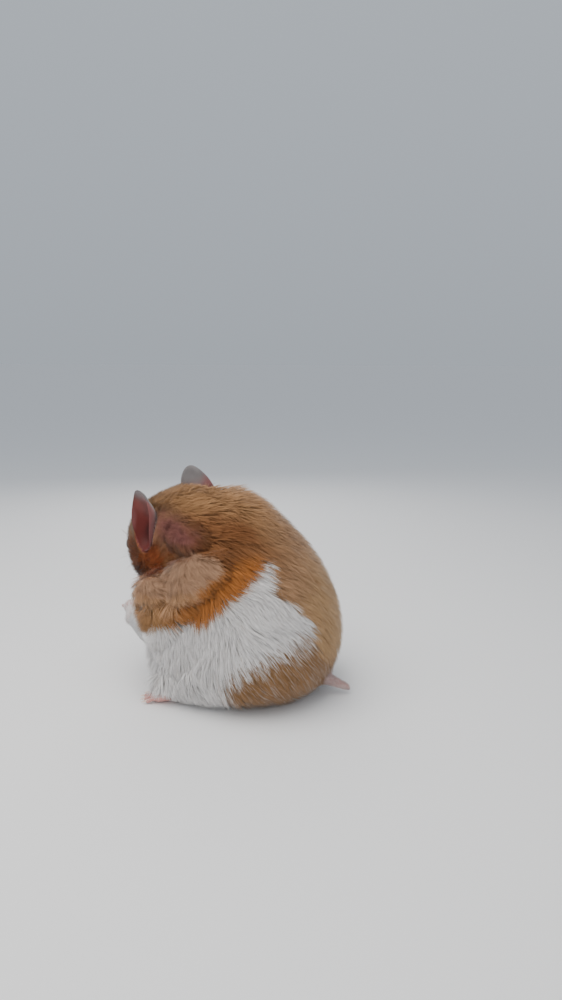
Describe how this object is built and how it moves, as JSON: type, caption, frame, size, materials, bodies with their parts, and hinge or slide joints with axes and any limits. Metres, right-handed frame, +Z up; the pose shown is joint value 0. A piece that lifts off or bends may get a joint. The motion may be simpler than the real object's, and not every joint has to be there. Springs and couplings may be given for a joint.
{
  "type": "syrian hamster",
  "caption": "Life-size still model of a golden and white Syrian hamster, sitting hunched on its haunches with its forepaws under its chin and its head bowed to one side.",
  "frame": {"origin": "middle of the bounding box's underside, on the floor under the belly", "axes": "+Z up, -Y the way the body faces, +X the animal's left"},
  "size_m": [0.0788, 0.1044, 0.0959],
  "materials": {
    "coat_golden": "soft fur, golden orange brown, shaded darker along the sides",
    "coat_tan": "soft fur, tan over a greyer underfur",
    "coat_white": "soft fur, white, a little longer",
    "bare_skin": "thin pink skin under sparse short hair",
    "nose_skin": "damp pink skin",
    "ear_skin": "thin translucent skin with very fine hair, grey at the tip",
    "eye": "wet, near black"
  },
  "bodies": {
    "root": {"head": "coat_golden", "muzzle": "coat_golden", "lower_jaw": "coat_white", "nose": "nose_skin", "ear_left": "ear_skin", "ear_right": "ear_skin", "eye_left": "eye", "eye_right": "eye", "neck": "coat_golden", "chest": "coat_golden", "abdomen": "coat_white", "rump": "coat_tan", "tail": "bare_skin", "upper_arm_left": "coat_golden", "upper_arm_right": "coat_golden", "forearm_left": "coat_white", "forearm_right": "coat_white", "forepaw_left": "bare_skin", "forepaw_right": "bare_skin", "thigh_left": "coat_tan", "thigh_right": "coat_tan", "hind_foot_left": "bare_skin", "hind_foot_right": "bare_skin"}
  },
  "joints": []
}
